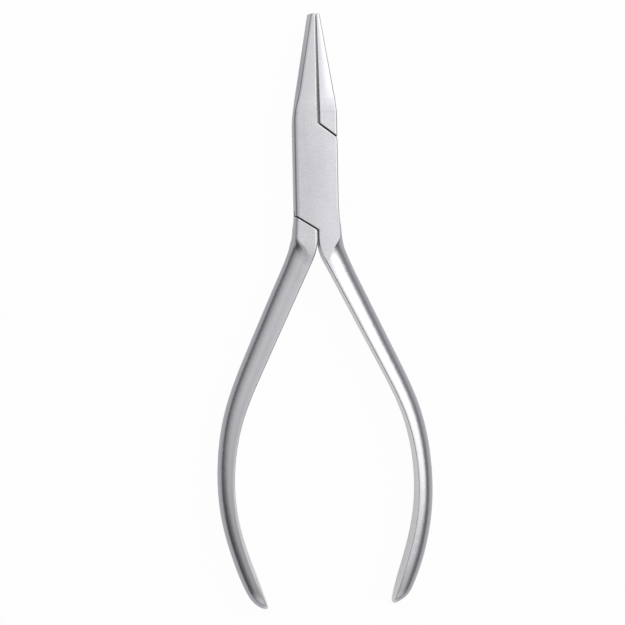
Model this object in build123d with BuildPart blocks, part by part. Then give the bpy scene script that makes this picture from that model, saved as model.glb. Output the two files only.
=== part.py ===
from build123d import *
from math import acos, asin, atan2, cos, degrees, radians, sin, tan
import os

# Flat-nose orthodontic pliers with a box joint, in millimetres.
# X is across the tool, Y runs towards the jaw tips and Z is the axis of the joint pin.
# The origin is on that axis, in the plane that the tool lies on.

# Driving sizes of the whole tool
head_length = 35.8
handle_length = 93.3
joint_thickness = 8.0

# Joint block, measured from the pin axis
block_left = 5.35
block_right = 4.2
block_top = 14.0
block_top_left = 5.2
block_corner_height = 12.0
block_bottom = 12.0
block_side_bottom = 8.0
block_edge_left = 1.1
block_edge_right = 0.42
crown_radius = 75.0

# Seams between the halves on the front and back faces
upper_seam_inner = 11.6
upper_seam_outer = 8.5
lower_seam_inner = 11.6
lower_seam_outer = 8.4
crotch_across = 0.27
seam_gap = 0.3
seam_edge_radius = 0.18

# Box joint: the slot of one half and the tang of the other
tang_thickness = 3.0
tang_side_clearance = 0.04
slot_radius = 10.8
slot_end_clearance = 0.15
pin_radius = 1.9
pin_running_clearance = 0.03

# Jaws
meeting_offset = 0.12
tip_gap = 0.2
root_gap = 0.6
tip_left = 1.62
tip_right = 1.12
tip_depth = 3.0
shoulder_height = 17.0
shoulder_left = 4.78
shoulder_right = 3.95
soft_start_height = 19.0
facet_left = 0.9
facet_right = 0.22
facet_down = 1.26
slit_edge_radius = 0.16

# Slope of a jaw's front face at its outer edge, in degrees
slope_left = 5.0
slope_right = 5.5

# Inner face of a handle: three straight runs, with a bend at each of the two corners between them
handle_start = 7.0
handle_neck = 0.15
bow_reach = 23.8
flare_corner_shares = (0.0063, 0.1676)
bow_corner_shares = (1.0, 0.6815)
end_across_share = 0.573
flare_bend_share = 0.3
bow_bend_share = 0.639

# The ground faces of the joint run on over the roots of the handles. The front one rises again
# from the runout start at the runout slope, in degrees.
ground_share = 0.27
runout_start = 18.5
runout_slope = 2.0

# The middle line between the handles starts left of the pin and leans to the right, in degrees
crotch_offset = 0.6
handle_lean = 0.9

# Handle section: a D with its flat side inwards and a small bevel along each edge of that side,
# which is wider on the ground root of the left handle. The front falls outwards from the bevel
# at the start slope, in degrees.
handle_width = 5.3
inner_bevel = 0.2
root_bevel_left = 0.5
start_slope = 2.5

# One named overrun serves all cuts
overrun = 3.0

# Sizes worked out from those above
half_thickness = joint_thickness / 2
tang_floor = half_thickness - tang_thickness / 2
tang_ceiling = half_thickness + tang_thickness / 2
slot_floor = tang_floor - tang_side_clearance
slot_ceiling = tang_ceiling + tang_side_clearance
ground_end = -handle_length * ground_share

# Each row is one section of a jaw: how far up the jaw it stands, then how much of the facet's
# width, of its depth, of the edge radius and of the face's own slope it has reached
jaw_section_shares = (
    (0.00, 0.04, 0.88, 0.92, 0.00),
    (0.06, 0.35, 0.93, 0.88, 0.35),
    (0.14, 0.78, 1.00, 0.82, 0.80),
    (0.24, 1.00, 1.00, 0.74, 1.00),
    (0.60, 1.00, 1.00, 0.70, 1.00),
    (1.00, 1.00, 1.00, 0.60, 1.00),
)

# Each row is one section of a handle: how far along the inner face it stands, the width of
# the right and of the left handle there, the depth, and then, for the right and for the left
# handle, how much of the width and of the depth is straight before the round begins
handle_section_shares = (
    (0.000, 0.853, 0.885, 1.010, 0.89, 0.86, 0.78, 0.62),
    (0.018, 0.885, 0.905, 1.010, 0.89, 0.78, 0.78, 0.60),
    (0.036, 0.925, 0.950, 1.012, 0.87, 0.62, 0.77, 0.54),
    (0.055, 0.962, 0.995, 1.016, 0.84, 0.42, 0.76, 0.42),
    (0.071, 0.990, 1.038, 1.024, 0.77, 0.26, 0.74, 0.28),
    (0.085, 1.005, 1.070, 1.034, 0.62, 0.18, 0.62, 0.18),
    (0.099, 1.002, 1.080, 1.036, 0.38, 0.15, 0.38, 0.15),
    (0.113, 0.985, 1.070, 1.026, 0.20, 0.14, 0.20, 0.14),
    (0.129, 0.962, 1.045, 0.994, 0.11, 0.14, 0.11, 0.14),
    (0.151, 0.932, 1.020, 0.980, 0.09, 0.13, 0.09, 0.13),
    (0.177, 0.905, 1.005, 0.966, 0.09, 0.12, 0.09, 0.12),
    (0.212, 0.885, 1.000, 0.968, 0.09, 0.12, 0.09, 0.12),
    (0.303, 0.840, 0.970, 0.985, 0.09, 0.12, 0.09, 0.12),
    (0.414, 0.785, 0.920, 0.992, 0.09, 0.12, 0.09, 0.12),
    (0.533, 0.725, 0.820, 0.994, 0.09, 0.12, 0.09, 0.12),
    (0.652, 0.660, 0.730, 0.997, 0.09, 0.12, 0.09, 0.12),
    (0.771, 0.660, 0.680, 0.996, 0.09, 0.12, 0.09, 0.12),
    (0.880, 0.680, 0.655, 0.970, 0.09, 0.12, 0.09, 0.12),
    (0.941, 0.630, 0.620, 0.920, 0.09, 0.12, 0.09, 0.12),
    (0.9735, 0.500, 0.500, 0.780, 0.09, 0.12, 0.09, 0.12),
    (0.991, 0.290, 0.320, 0.560, 0.09, 0.12, 0.09, 0.12),
    (1.000, 0.140, 0.150, 0.280, 0.09, 0.12, 0.09, 0.12),
)


def handle_section(inner_face, row, side):
    """One section of a handle, square to its inner face."""
    along_share, right_width_share, left_width_share, depth_share = row[:4]
    width_share = right_width_share if side == "right" else left_width_share
    top_share, side_share = row[4:6] if side == "right" else row[6:]
    root_bevel = inner_bevel if side == "right" else root_bevel_left
    width = handle_width * width_share
    half_depth = half_thickness * depth_share
    down = inner_bevel * min(width_share, depth_share)
    across = down + (root_bevel - inner_bevel) * top_share
    top_end = across + (width - across) * top_share
    side_end = half_depth * side_share
    slope = tan(radians(start_slope * (1 - top_share)))
    top_height = half_depth - (top_end - across) * slope
    rise = top_height - side_end
    slope_share = (width - top_end) * slope / rise
    start_angle = acos(slope_share / (1 - slope_share))
    round_width = (width - top_end) / (1 - cos(start_angle))
    round_depth = rise / sin(start_angle)
    centre = width - round_width
    turn = degrees(start_angle)
    place = inner_face @ along_share
    heading = inner_face % along_share
    outward = (-heading.Y, heading.X, 0)
    plane = Plane(origin=(place.X, place.Y, half_thickness), x_dir=outward, z_dir=heading)
    with BuildSketch(plane) as section:
        with BuildLine():
            Line((0, down - half_depth), (0, half_depth - down))
            Line((0, half_depth - down), (across, half_depth))
            Line((across, half_depth), (top_end, top_height))
            EllipticalCenterArc((centre, side_end), round_width, round_depth, turn, arc_size=-turn)
            Line((width, side_end), (width, -side_end))
            EllipticalCenterArc((centre, -side_end), round_width, round_depth, 0, arc_size=-turn)
            Line((top_end, -top_height), (across, -half_depth))
            Line((across, -half_depth), (0, down - half_depth))
        make_face()
    return section.sketch


def bend_radius(before, corner, after, bend_share):
    """Radius of the bend that takes up its share of the shorter of two runs."""
    run_in = Vector(corner) - Vector(before)
    run_out = Vector(after) - Vector(corner)
    half_turn = radians(run_in.get_angle(run_out)) / 2
    return bend_share * min(run_in.length, run_out.length) / tan(half_turn)


def make_handle(side):
    """A handle right of the Y axis, with the back of its root ground flat."""
    start = (handle_neck, -handle_start)
    flare_across_share, flare_along_share = flare_corner_shares
    flare = (bow_reach * flare_across_share, -handle_length * flare_along_share)
    bow_across_share, bow_along_share = bow_corner_shares
    bow = (bow_reach * bow_across_share, -handle_length * bow_along_share)
    end = (bow_reach * end_across_share, -handle_length)
    with BuildLine() as inner_face:
        flare_radius = bend_radius(start, flare, bow, flare_bend_share)
        bow_radius = bend_radius(flare, bow, end, bow_bend_share)
        FilletPolyline(start, flare, bow, end, radius=(flare_radius, bow_radius))
    with BuildPart() as handle:
        loft([handle_section(inner_face.line, row, side) for row in handle_section_shares])
        with BuildSketch(Plane.XY.offset(-overrun)):
            with Locations((0, ground_end)):
                Rectangle(bow_reach, -ground_end, align=(Align.MIN, Align.MIN))
        extrude(amount=overrun, mode=Mode.SUBTRACT)
    return handle.part


def place_handle(handle):
    """A handle turned with the middle line, its root ground to the crowned front face."""
    with BuildPart() as placed:
        with Locations(Location((-crotch_offset, 0, 0), (0, 0, handle_lean))):
            add(handle)
        add(front_space, mode=Mode.SUBTRACT)
    return placed.part


def jaw_reach(reaches, height):
    """How far a jaw's outer side stands from the Y axis, straight from each height to the next."""
    at_top, at_shoulder, at_tip = reaches
    if height <= shoulder_height:
        return at_top + (at_shoulder - at_top) * (height - block_top) / (shoulder_height - block_top)
    return at_shoulder + (at_tip - at_shoulder) * (height - shoulder_height) / (head_length - shoulder_height)


def jaw_half_depth(height):
    """Half the depth of a jaw: it thins softly from the joint up, and then in a straight line."""
    rise = height - block_top
    soft_rise = soft_start_height - block_top
    straight_rise = head_length - block_top - soft_rise / 2
    way_share = rise**2 / (2 * soft_rise * straight_rise)
    if rise > soft_rise:
        way_share = (rise - soft_rise / 2) / straight_rise
    return half_thickness + (tip_depth / 2 - half_thickness) * way_share


def jaw_section(side, reaches, row):
    """One section of a jaw, drawn from its inner face outwards, with a facet along each outer edge."""
    up_share, facet_share, down_share, edge_share, slope_share = row
    height = block_top + (head_length - block_top) * up_share
    sign = 1 if side == "right" else -1
    facet, slope = (facet_right, slope_right) if side == "right" else (facet_left, slope_left)
    edge_radius = block_edge_right if side == "right" else block_edge_left
    gap = root_gap + (tip_gap - root_gap) * up_share
    low = half_thickness - jaw_half_depth(height)
    high = half_thickness + jaw_half_depth(height)
    inner = gap / 2 + sign * meeting_offset
    outer = jaw_reach(reaches, height)
    joint_slope = asin(outer / crown_radius)
    face_slope = joint_slope + (radians(slope) - joint_slope) * slope_share
    across = facet * facet_share
    down = facet_down * down_share
    edge = edge_radius * edge_share
    corner = outer - across
    fall = (corner - inner) * tan(face_slope) / 2
    facet_slope = atan2(down, across)
    front_run = edge * tan((facet_slope - face_slope) / 2)
    back_run = edge * tan(facet_slope / 2)
    front_face_end = (corner - front_run * cos(face_slope), high - fall + front_run * sin(face_slope))
    front_facet_start = (corner + front_run * cos(facet_slope), high - fall - front_run * sin(facet_slope))
    back_facet_end = (corner + back_run * cos(facet_slope), low + back_run * sin(facet_slope))
    with BuildSketch(Plane(origin=(0, height, 0), x_dir=(sign, 0, 0), z_dir=(0, -sign, 0))) as section:
        with BuildLine():
            Line((inner, low + slit_edge_radius), (inner, high - slit_edge_radius))
            RadiusArc((inner, high - slit_edge_radius), (inner + slit_edge_radius, high), slit_edge_radius)
            TangentArc((inner + slit_edge_radius, high), front_face_end, tangent=(1, 0))
            RadiusArc(front_face_end, front_facet_start, edge)
            Line(front_facet_start, (outer, high - fall - down))
            Line((outer, high - fall - down), (outer, low + down))
            Line((outer, low + down), back_facet_end)
            RadiusArc(back_facet_end, (corner - back_run, low), edge)
            Line((corner - back_run, low), (inner + slit_edge_radius, low))
            RadiusArc((inner + slit_edge_radius, low), (inner, low + slit_edge_radius), slit_edge_radius)
        make_face()
    return section.sketch


def make_jaw(side, reaches):
    """A jaw from the top of the joint to its tip, thinner and narrower towards the tip."""
    with BuildPart() as jaw:
        loft([jaw_section(side, reaches, row) for row in jaw_section_shares], ruled=True)
    return jaw.part


def crown_profile(height):
    """Section, square to the Y axis, of the space in front of the crowned front face."""
    reach = bow_reach / 2
    edge_height = joint_thickness - crown_radius * (1 - cos(asin(reach / crown_radius)))
    with BuildSketch(Plane.XZ.offset(-height)) as profile:
        with BuildLine():
            ThreePointArc((-reach, edge_height), (0, joint_thickness), (reach, edge_height))
            Polyline(
                (reach, edge_height),
                (reach, joint_thickness + overrun),
                (-reach, joint_thickness + overrun),
                (-reach, edge_height),
            )
        make_face()
    return profile.sketch


def make_front_space():
    """The space in front of the crowned front face. At its lower end it rises out of the handles."""
    slope = radians(runout_slope)
    with BuildPart() as space:
        add(crown_profile(block_top + overrun))
        extrude(amount=block_top + overrun + runout_start, dir=(0, -1, 0))
        add(crown_profile(-runout_start))
        extrude(amount=-ground_end - runout_start, dir=(0, -cos(slope), sin(slope)))
    return space.part


def block_outline():
    """Plan of the joint, as both halves share it."""
    with BuildSketch() as outline:
        with BuildLine():
            Polyline(
                (-block_left, -block_bottom),
                (-block_left, block_corner_height),
                (-block_top_left, block_top),
                (block_right, block_top),
                (block_right, -block_side_bottom),
                (block_right / 2, -block_bottom),
                close=True,
            )
        make_face()
    return outline.sketch


def make_block():
    """The joint at full thickness, with a crowned front and the long edges of both faces rounded."""
    with BuildPart() as block:
        add(block_outline())
        extrude(amount=joint_thickness)
        add(front_space, mode=Mode.SUBTRACT)
        level_edges = block.edges().filter_by(Axis.Z, reverse=True)
        fillet(level_edges.filter_by(lambda edge: edge.center().X < -block_top_left), block_edge_left)
        level_edges = block.edges().filter_by(Axis.Z, reverse=True)
        right_edges = level_edges.filter_by(lambda edge: edge.center().X > block_right - block_edge_right)
        fillet(right_edges, block_edge_right)
    return block.part


def seam_edges(edges):
    """The edges of the seams and of the slit on the front and back faces of a cut block."""
    middle_reach = block_right - block_edge_right - seam_edge_radius
    on_faces = edges.filter_by(lambda edge: abs(edge.center().Z - half_thickness) > tang_thickness)
    between_ends = on_faces.filter_by_position(Axis.Y, -block_bottom, block_top, inclusive=(False, False))
    return between_ends.filter_by(lambda edge: abs(edge.center().X) < middle_reach)


def upper_seam(across):
    """Height of the middle of the upper seam, which falls from the slit to the right side."""
    slope = (upper_seam_inner - upper_seam_outer) / (block_right - meeting_offset)
    return upper_seam_inner - slope * (across - meeting_offset)


def lower_seam(across):
    """Height of the middle of the lower seam, which falls from the left side to the crotch."""
    slope = (lower_seam_inner - lower_seam_outer) / (block_left - crotch_across)
    return -lower_seam_inner - slope * (across + crotch_across)


def region_above_upper_seam(left, lift):
    """Plan of the joint above the upper seam and right of the slit between the jaws."""
    right = block_right + overrun
    with BuildSketch() as region:
        with BuildLine():
            Polyline(
                (left, upper_seam(left) + lift),
                (left, block_top + overrun),
                (right, block_top + overrun),
                (right, upper_seam(right) + lift),
                close=True,
            )
        make_face()
    return region.sketch


def region_below_lower_seam(right, lift):
    """Plan of the joint below the lower seam and left of the crotch between the handles."""
    left = -block_left - overrun
    with BuildSketch() as region:
        with BuildLine():
            Polyline(
                (right, lower_seam(right) + lift),
                (right, -block_bottom - overrun),
                (left, -block_bottom - overrun),
                (left, lower_seam(left) + lift),
                close=True,
            )
        make_face()
    return region.sketch


def make_handle_root():
    """The left handle, with both outer layers cut back to the lower seam."""
    left = -block_left - overrun
    below_seam = -seam_gap / 2
    with BuildPart() as root:
        add(left_handle)
        for floor, ceiling in ((-overrun, tang_floor), (tang_ceiling, joint_thickness + overrun)):
            with BuildSketch(Plane.XY.offset(floor)):
                with BuildLine():
                    Polyline(
                        (left, 0),
                        (block_right, 0),
                        (block_right, lower_seam(block_right) + below_seam),
                        (left, lower_seam(left) + below_seam),
                        close=True,
                    )
                make_face()
            extrude(amount=ceiling - floor, mode=Mode.SUBTRACT)
    return root.part


slit_left = meeting_offset - root_gap / 2
slit_right = meeting_offset + root_gap / 2
front_space = make_front_space()
block = make_block()
right_handle = place_handle(make_handle("right"))
left_handle = place_handle(mirror(make_handle("left"), about=Plane.YZ))

# Box half: left jaw, both plates of the joint and right handle
with BuildPart() as box_half:
    add(block)
    with BuildSketch():
        add(region_above_upper_seam(slit_left, -seam_gap / 2))
        add(region_below_lower_seam(0, seam_gap / 2))
    extrude(amount=joint_thickness, mode=Mode.SUBTRACT)
    fillet(seam_edges(box_half.edges()), seam_edge_radius)
    add(make_jaw("left", (block_top_left, shoulder_left, tip_left)))
    add(right_handle)
    with BuildSketch(Plane.XY.offset(slot_floor)):
        Circle(slot_radius)
        with Locations((slit_left, 0)):
            Rectangle(block_right + overrun, block_top, align=(Align.MIN, Align.MIN))
        with Locations((-crotch_across, 0)):
            Rectangle(block_left + overrun, block_bottom, align=(Align.MAX, Align.MAX))
    extrude(amount=slot_ceiling - slot_floor, mode=Mode.SUBTRACT)
    with BuildSketch():
        Circle(pin_radius)
    extrude(amount=joint_thickness, mode=Mode.SUBTRACT)

# Tang half: right jaw, the tang that turns in the slot and left handle
with BuildPart() as tang_half:
    with BuildSketch():
        add(region_above_upper_seam(slit_right, seam_gap / 2))
    extrude(amount=joint_thickness)
    add(block, mode=Mode.INTERSECT)
    fillet(seam_edges(tang_half.edges()), seam_edge_radius)
    with BuildSketch(Plane.XY.offset(tang_floor)):
        Circle(slot_radius - slot_end_clearance)
        with Locations((slit_right, 0)):
            Rectangle(block_right + overrun, block_top, align=(Align.MIN, Align.MIN))
        add(block_outline(), mode=Mode.INTERSECT)
    extrude(amount=tang_thickness)
    add(make_jaw("right", (block_right, shoulder_right, tip_right)))
    add(make_handle_root())
    with BuildSketch():
        Circle(pin_radius + pin_running_clearance)
    extrude(amount=joint_thickness, mode=Mode.SUBTRACT)

# Rivet pin, pressed into both plates and ground flush with the faces
with BuildPart() as joint_pin:
    with BuildSketch():
        Circle(pin_radius)
    extrude(amount=joint_thickness)
    add(front_space, mode=Mode.SUBTRACT)

box_half.part.label = "box_half"
tang_half.part.label = "tang_half"
joint_pin.part.label = "joint_pin"
os.makedirs("parts", exist_ok=True)
export_step(box_half.part, "parts/box_half.step")
export_step(tang_half.part, "parts/tang_half.step")
export_step(joint_pin.part, "parts/joint_pin.step")
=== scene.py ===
import bpy
from math import cos, radians, sin
from mathutils import Matrix, Vector

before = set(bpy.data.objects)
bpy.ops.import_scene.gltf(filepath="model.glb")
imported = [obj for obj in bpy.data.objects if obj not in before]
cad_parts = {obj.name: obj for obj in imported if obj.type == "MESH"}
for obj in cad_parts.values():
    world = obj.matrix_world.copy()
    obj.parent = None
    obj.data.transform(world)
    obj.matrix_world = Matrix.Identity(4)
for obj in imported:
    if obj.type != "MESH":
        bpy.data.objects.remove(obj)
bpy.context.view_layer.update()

# Lengths are in metres and angles in degrees.
mm = 0.001

# The camera looks down at the joint from a little to the left, and is turned by the lean. A pixel's
# size is that at half the joint's height. Only the sensor's width is in millimetres.
camera_tilt = 3.5
camera_lean = 1.16
camera_distance = 300 * mm
pixel_size = 0.2189 * mm
image_pixels = 625
joint_pixel = (319, 176.5)
sensor_width = 36.0
joint_thickness = 8 * mm

# Studio: brightness of the sky's left side, from the horizon to straight above, and a darker
# band in it, with its place across, its reach to each side and the share that it takes away
left_horizon = 0.08
left_rise = 0.61
dip_centre = -0.28
dip_width = 0.16
dip_depth = 0.16

# The sky's right side: its brightness low down and high up, the heights between which it turns,
# and its glow's share towards the front, with the stretch over which the glow fades
right_dark = 0.24
right_bright = 1.42
right_ramp = (0.32, 0.76)
front_ramp = (-0.36, -0.08)
front_share = 0.45

# Where the left side turns into the right one, and how steeply the whole sky brightens from its
# front end towards the back
side_ramp = (0.075, 0.29)
front_to_back = 0.8
front_end = -0.3

# Grey screen low on the left, in front of the handles: its direction, the angles of its
# edge and its middle, and what it leaves of the sky's light
screen_direction = Vector((-0.8, -0.45, 0.37)).normalized()
screen_edge = 32
screen_middle = 8
screen_share = 0.6

# Light panel in front of the handles: its brightness from the horizon upwards, and its edge
panel_horizon = 0.35
panel_rise = 0.7
panel_ramp = (-0.9, -0.6)

# Floor: a white acrylic sheet, and the shares of plain white in what the camera sees of it and
# in what the steel mirrors of it
floor_size = 1.6
floor_colour = (0.85, 0.85, 0.85, 1)
floor_roughness = 0.03
floor_index = 1.5
floor_seen_share = 0.97
floor_mirrored_share = 0.38

# Steel: colours of the clean metal, of its outer sides darkened as painted shade, of its inner
# walls lightened as a painted reflection of the bright floor, of its edges rubbed bright by wear,
# which also paints a highlight on shallow creases, and of the painted shade in its seams
steel_dark = (0.68, 0.672, 0.708, 1)
steel_light = (0.77, 0.762, 0.798, 1)
steel_side_shade = (0.50, 0.502, 0.545, 1)
steel_wall_light = (0.95, 0.945, 0.96, 1)
steel_worn_highlight = (0.90, 0.89, 0.90, 1)
steel_seam_shade = (0.03, 0.03, 0.035, 1)

# Roughness of the blasted joint block and of the brushed jaws and handles, and how it varies
blasted_roughness = 0.42
brushed_roughness = 0.2
grain_change = 0.06
brushing_change = 0.08
cloud_change = 0.05
wear_change = -0.05

# Grain of the blasting, marks of the brushing along the tool, and mottling of the colour by
# clouds and speckles, and how fine the detail of each noise is
grain_size = 0.16 * mm
grain_height = 0.002 * mm
brushing_width = 0.12 * mm
brushing_length = 6 * mm
cloud_size = 5 * mm
speckle_size = 0.4 * mm
speckle_share = 0.6
mottling_range = (0.38, 0.62)
fine_detail = 2.0
cloud_detail = 4.0

# The blasted stretch along Y, with the length of its fade, and how squarely a face looks up or
# down where the blasting begins and where it is full
blasted_bottom = -17 * mm
blasted_top = 14 * mm
blasted_fade = 6 * mm
blasted_facing = (0.984, 0.996)

# The inner walls below the joint, lightened as a painted reflection of the bright floor, and the
# stretch along Y over which that fades to its share at the ends of the handles
lit_wall_top = -8 * mm
lit_wall_fade = 2 * mm
lit_wall_stretch = (-85 * mm, -55 * mm)
lit_wall_end_share = 0.25

# How far out a wall lies times how squarely it looks across the tool, where the painted reflection
# on the inner walls and the painted shade on the outer sides are full, and how squarely the outer
# sides look up or down where their painted shade is still full and where it ends
full_painted_reach = 3 * mm
side_shade_facing = (0.6, 0.92)

# The joint pin's end, where no edge shows
flush_radius = 2.3 * mm
flush_fade = 0.5 * mm

# Edges rubbed bright by wear, which also give a painted highlight on shallow creases, by how much
# the surface turns within their width, and painted shade in the seams, by how open a place is
# within the shade's reach, each with the number of its samples
worn_highlight_width = 0.22 * mm
worn_highlight_turn = (0.93, 0.998)
worn_highlight_samples = 6
seam_shade_reach = 0.8 * mm
seam_shade_opening = (0.62, 0.9)
seam_shade_samples = 8


def math_node(tree, operation, first, second=None):
    """The output of one sum. Each input is a number or another node's output."""
    node = tree.nodes.new("ShaderNodeMath")
    node.operation = operation
    for socket, value in zip(node.inputs, (first, second)):
        if isinstance(value, bpy.types.NodeSocket):
            tree.links.new(value, socket)
        elif value is not None:
            socket.default_value = value
    return node.outputs[0]


def ramp_node(tree, value, low, high, to_low=0.0, to_high=1.0):
    """The output of a smooth step from one value to another."""
    node = tree.nodes.new("ShaderNodeMapRange")
    node.interpolation_type = "SMOOTHSTEP"
    tree.links.new(value, node.inputs["Value"])
    node.inputs["From Min"].default_value = low
    node.inputs["From Max"].default_value = high
    node.inputs["To Min"].default_value = to_low
    node.inputs["To Max"].default_value = to_high
    return node.outputs["Result"]


def blend_node(tree, share, first, second, kind="FLOAT"):
    """The output of a plain blend between two numbers, or between two colours or directions."""
    node = tree.nodes.new("ShaderNodeMix")
    node.data_type = kind
    sockets = [socket for socket in node.inputs if socket.enabled]
    for socket, value in zip(sockets, (share, first, second)):
        if isinstance(value, bpy.types.NodeSocket):
            tree.links.new(value, socket)
        else:
            socket.default_value = value
    return next(socket for socket in node.outputs if socket.enabled)


def split_node(tree, vector):
    """The three outputs of a vector's parts along X, Y and Z."""
    node = tree.nodes.new("ShaderNodeSeparateXYZ")
    tree.links.new(vector, node.inputs[0])
    return node.outputs


def dot_node(tree, first, second):
    """The output of the dot product of two directions. The second may be a fixed one."""
    node = tree.nodes.new("ShaderNodeVectorMath")
    node.operation = "DOT_PRODUCT"
    tree.links.new(first, node.inputs[0])
    if isinstance(second, bpy.types.NodeSocket):
        tree.links.new(second, node.inputs[1])
    else:
        node.inputs[1].default_value = second
    return node.outputs["Value"]


def noise_node(tree, place, across, along, detail=fine_detail):
    """The output of a noise with grains of that size across the tool and along it."""
    mapping = tree.nodes.new("ShaderNodeMapping")
    mapping.inputs["Scale"].default_value = (1 / across, 1 / along, 1 / across)
    tree.links.new(place, mapping.inputs["Vector"])
    noise = tree.nodes.new("ShaderNodeTexNoise")
    noise.inputs["Scale"].default_value = 1
    noise.inputs["Detail"].default_value = detail
    tree.links.new(mapping.outputs[0], noise.inputs["Vector"])
    return noise.outputs[0]


def make_material(name):
    """A new material with only a Principled shader, and that shader's node."""
    material = bpy.data.materials.new(name)
    material.use_nodes = True
    return material, material.node_tree.nodes["Principled BSDF"]


def blasted_mask(tree, y, facing_z):
    """1 on the blasted faces of the joint block and 0 on its edges and on the jaws and handles."""
    above = ramp_node(tree, y, blasted_bottom - blasted_fade, blasted_bottom)
    below = ramp_node(tree, y, blasted_top, blasted_top + blasted_fade, 1.0, 0.0)
    flat = ramp_node(tree, math_node(tree, "ABSOLUTE", facing_z), *blasted_facing)
    return math_node(tree, "MULTIPLY", math_node(tree, "MULTIPLY", above, below), flat)


def beside_pin_mask(tree, x, y):
    """0 at the end of the joint pin, which is finished flush by grinding, and 1 elsewhere."""
    x_squared = math_node(tree, "MULTIPLY", x, x)
    y_squared = math_node(tree, "MULTIPLY", y, y)
    from_axis = math_node(tree, "SQRT", math_node(tree, "ADD", x_squared, y_squared))
    return ramp_node(tree, from_axis, flush_radius, flush_radius + flush_fade)


def lit_wall_mask(tree, x, y, facing_x):
    """1 on the walls of the handles that face each other, below the joint block: a lighter tone
    painted there as a reflection of the bright floor.
    """
    inward = ramp_node(tree, math_node(tree, "MULTIPLY", x, facing_x), -full_painted_reach, 0.0, 1.0, 0.0)
    below = ramp_node(tree, y, lit_wall_top - lit_wall_fade, lit_wall_top, 1.0, 0.0)
    towards_ends = ramp_node(tree, y, *lit_wall_stretch, lit_wall_end_share, 1.0)
    return math_node(tree, "MULTIPLY", math_node(tree, "MULTIPLY", inward, below), towards_ends)


def side_shade_mask(tree, x, facing_x, facing_z):
    """1 on the outer sides of the whole tool, where a darker tone is painted as shade."""
    outward = ramp_node(tree, math_node(tree, "MULTIPLY", x, facing_x), 0.0, full_painted_reach)
    upright = ramp_node(tree, math_node(tree, "ABSOLUTE", facing_z), *side_shade_facing, 1.0, 0.0)
    return math_node(tree, "MULTIPLY", outward, upright)


def satin_steel():
    """Satin stainless steel: blasted on the joint block and finely brushed on jaws and handles."""
    material, shader = make_material("satin_steel")
    tree = material.node_tree
    coordinates = tree.nodes.new("ShaderNodeTexCoord")
    place = coordinates.outputs["Object"]
    x, y, _ = split_node(tree, place)
    facing_x, _, facing_z = split_node(tree, coordinates.outputs["Normal"])
    blasted = blasted_mask(tree, y, facing_z)
    lit_walls = lit_wall_mask(tree, x, y, facing_x)
    side_shade = side_shade_mask(tree, x, facing_x, facing_z)
    beside_pin = beside_pin_mask(tree, x, y)
    grain = noise_node(tree, place, grain_size, grain_size)
    brushing = noise_node(tree, place, brushing_width, brushing_length)
    clouds = noise_node(tree, place, cloud_size, cloud_size, cloud_detail)
    speckle = noise_node(tree, place, speckle_size, speckle_size)

    bevel = tree.nodes.new("ShaderNodeBevel")
    bevel.samples = worn_highlight_samples
    bevel.inputs["Radius"].default_value = worn_highlight_width
    rounded = bevel.outputs["Normal"]
    plain = tree.nodes.new("ShaderNodeNewGeometry").outputs["Normal"]
    # Edges that turn sharply get a lighter tone for wear; the same mask paints a highlight on
    # shallow creases.
    turned = ramp_node(tree, dot_node(tree, rounded, plain), *worn_highlight_turn, 1.0, 0.0)
    worn_edge_highlight = math_node(tree, "MULTIPLY", turned, beside_pin)
    softened = blend_node(tree, beside_pin, plain, rounded, "VECTOR")

    # Painted shade: places that ambient occlusion finds closed, in the seams and the slit, turn
    # near-black.
    hidden = tree.nodes.new("ShaderNodeAmbientOcclusion")
    hidden.samples = seam_shade_samples
    hidden.inputs["Distance"].default_value = seam_shade_reach
    closed_shade = ramp_node(tree, hidden.outputs["AO"], *seam_shade_opening, 1.0, 0.0)

    mottling = blend_node(tree, speckle_share, clouds, speckle)
    shade = blend_node(tree, blasted, brushing, ramp_node(tree, mottling, *mottling_range))
    colour = blend_node(tree, shade, steel_dark, steel_light, "RGBA")
    # Painted shade: a darker tone on the outer sides.
    colour = blend_node(tree, side_shade, colour, steel_side_shade, "RGBA")
    # Painted reflection: a lighter tone on the inner walls, for the bright floor they mirror.
    colour = blend_node(tree, lit_walls, colour, steel_wall_light, "RGBA")
    # Wear on the edges, which also paints a highlight on shallow creases.
    colour = blend_node(tree, worn_edge_highlight, colour, steel_worn_highlight, "RGBA")
    # Painted shade in the seams and the slit.
    colour = blend_node(tree, closed_shade, colour, steel_seam_shade, "RGBA")
    tree.links.new(colour, shader.inputs["Base Color"])

    roughness = blend_node(tree, blasted, brushed_roughness, blasted_roughness)
    marks = blend_node(tree, blasted, brushing, grain)
    changes = ((marks, grain_change), (brushing, brushing_change), (clouds, cloud_change))
    for pattern, change in changes:
        centred = math_node(tree, "SUBTRACT", pattern, 0.5)
        roughness = math_node(tree, "ADD", roughness, math_node(tree, "MULTIPLY", centred, change))
    roughness = math_node(tree, "ADD", roughness, math_node(tree, "MULTIPLY", worn_edge_highlight, wear_change))
    tree.links.new(roughness, shader.inputs["Roughness"])
    shader.inputs["Metallic"].default_value = 1

    relief = tree.nodes.new("ShaderNodeBump")
    relief.inputs["Distance"].default_value = grain_height
    tree.links.new(marks, relief.inputs["Height"])
    tree.links.new(softened, relief.inputs["Normal"])
    tree.links.new(relief.outputs["Normal"], shader.inputs["Normal"])
    return material


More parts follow.
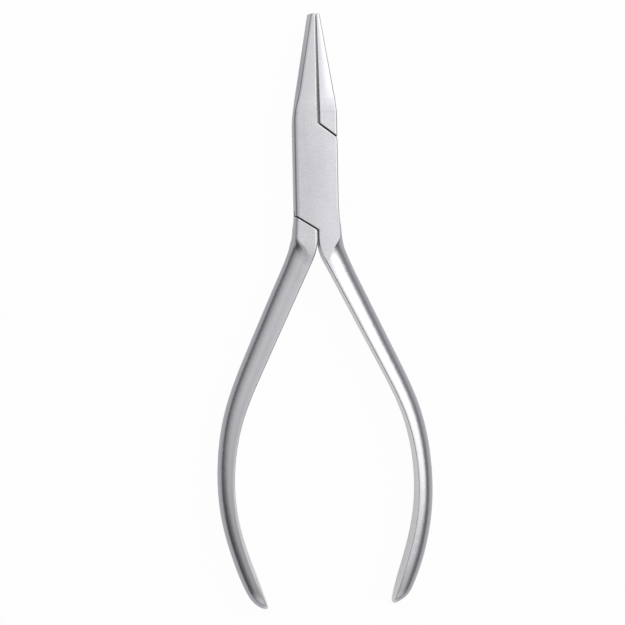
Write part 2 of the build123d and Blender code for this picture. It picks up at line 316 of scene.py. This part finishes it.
def make_camera():
    """The camera at the photograph's place."""
    tilt = radians(camera_tilt)
    lean = radians(camera_lean)
    view = Vector((sin(tilt), 0, -cos(tilt)))
    right = Vector((cos(tilt) * cos(lean), -sin(lean), sin(tilt) * cos(lean)))
    up = right.cross(view)
    focal_pixels = camera_distance / pixel_size
    depth = camera_distance - joint_thickness / 2
    across = (joint_pixel[0] - image_pixels / 2) * depth / focal_pixels
    down = (joint_pixel[1] - image_pixels / 2) * depth / focal_pixels
    place = Vector((0, 0, joint_thickness)) - view * depth - right * across + up * down
    camera = bpy.data.cameras.new("camera")
    camera.sensor_width = sensor_width
    camera.lens = sensor_width * focal_pixels / image_pixels
    holder = bpy.data.objects.new("camera", camera)
    holder.matrix_world = Matrix((
        (right.x, up.x, -view.x, place.x),
        (right.y, up.y, -view.y, place.y),
        (right.z, up.z, -view.z, place.z),
        (0, 0, 0, 1),
    ))
    bpy.context.scene.collection.objects.link(holder)
    bpy.context.scene.camera = holder


def make_floor():
    """A white acrylic sheet. The camera sees it as white, with a little of the object's shadow."""
    bpy.ops.mesh.primitive_plane_add(size=floor_size)
    floor = bpy.context.object
    floor.name = "floor"
    material, shader = make_material("white_acrylic")
    shader.inputs["Base Color"].default_value = floor_colour
    shader.inputs["Roughness"].default_value = floor_roughness
    shader.inputs["IOR"].default_value = floor_index
    tree = material.node_tree
    path = tree.nodes.new("ShaderNodeLightPath")
    glow = tree.nodes.new("ShaderNodeEmission")
    sheen = tree.nodes.new("ShaderNodeFresnel")
    sheen.inputs["IOR"].default_value = floor_index
    through = math_node(tree, "SUBTRACT", 1.0, sheen.outputs[0])
    direct = path.outputs["Is Camera Ray"]
    seen = math_node(tree, "MAXIMUM", direct, path.outputs["Is Transmission Ray"])
    seen_share = math_node(tree, "MULTIPLY", seen, floor_seen_share)
    mirrored = math_node(tree, "MULTIPLY", path.outputs["Is Glossy Ray"], through)
    mirrored_share = math_node(tree, "MULTIPLY", mirrored, floor_mirrored_share)
    mix = tree.nodes.new("ShaderNodeMixShader")
    tree.links.new(math_node(tree, "MAXIMUM", seen_share, mirrored_share), mix.inputs["Fac"])
    tree.links.new(shader.outputs["BSDF"], mix.inputs[1])
    tree.links.new(glow.outputs["Emission"], mix.inputs[2])
    tree.links.new(mix.outputs["Shader"], tree.nodes["Material Output"].inputs["Surface"])
    floor.data.materials.append(material)


def make_world():
    """Soft studio light: a white sky on the right, a grey one on the left and a dark horizon."""
    world = bpy.data.worlds.new("studio")
    bpy.context.scene.world = world
    world.use_nodes = True
    tree = world.node_tree
    place = tree.nodes.new("ShaderNodeTexCoord")
    direction = place.outputs["Generated"]
    x, y, z = split_node(tree, direction)
    height = math_node(tree, "MAXIMUM", z, 0.0)
    left = math_node(tree, "ADD", math_node(tree, "MULTIPLY", height, left_rise), left_horizon)
    from_dip = math_node(tree, "ABSOLUTE", math_node(tree, "SUBTRACT", x, dip_centre))
    dip = ramp_node(tree, from_dip, 0.0, dip_width, 1 - dip_depth, 1.0)
    left = math_node(tree, "MULTIPLY", left, dip)
    right_glow = ramp_node(tree, height, *right_ramp, 0.0, right_bright - right_dark)
    in_front = ramp_node(tree, y, *front_ramp, front_share, 1.0)
    right = math_node(tree, "ADD", math_node(tree, "MULTIPLY", right_glow, in_front), right_dark)
    sky = blend_node(tree, ramp_node(tree, x, *side_ramp), left, right)
    behind = math_node(tree, "MAXIMUM", y, front_end)
    depth = math_node(tree, "ADD", math_node(tree, "MULTIPLY", behind, front_to_back), 1.0)
    from_screen = dot_node(tree, direction, screen_direction)
    edge, middle = cos(radians(screen_edge)), cos(radians(screen_middle))
    screen = ramp_node(tree, from_screen, edge, middle, 1.0, screen_share)
    light = math_node(tree, "MULTIPLY", math_node(tree, "MULTIPLY", sky, depth), screen)
    panel = math_node(tree, "ADD", math_node(tree, "MULTIPLY", height, panel_rise), panel_horizon)
    light = blend_node(tree, ramp_node(tree, y, *panel_ramp, 1.0, 0.0), light, panel)
    background = tree.nodes["Background"]
    background.inputs["Color"].default_value = (1, 1, 1, 1)
    tree.links.new(light, background.inputs["Strength"])


make_camera()
make_floor()
make_world()
steel = satin_steel()
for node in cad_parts.values():
    node.data.materials.clear()
    node.data.materials.append(steel)

scene = bpy.context.scene
scene.view_settings.view_transform = "Standard"
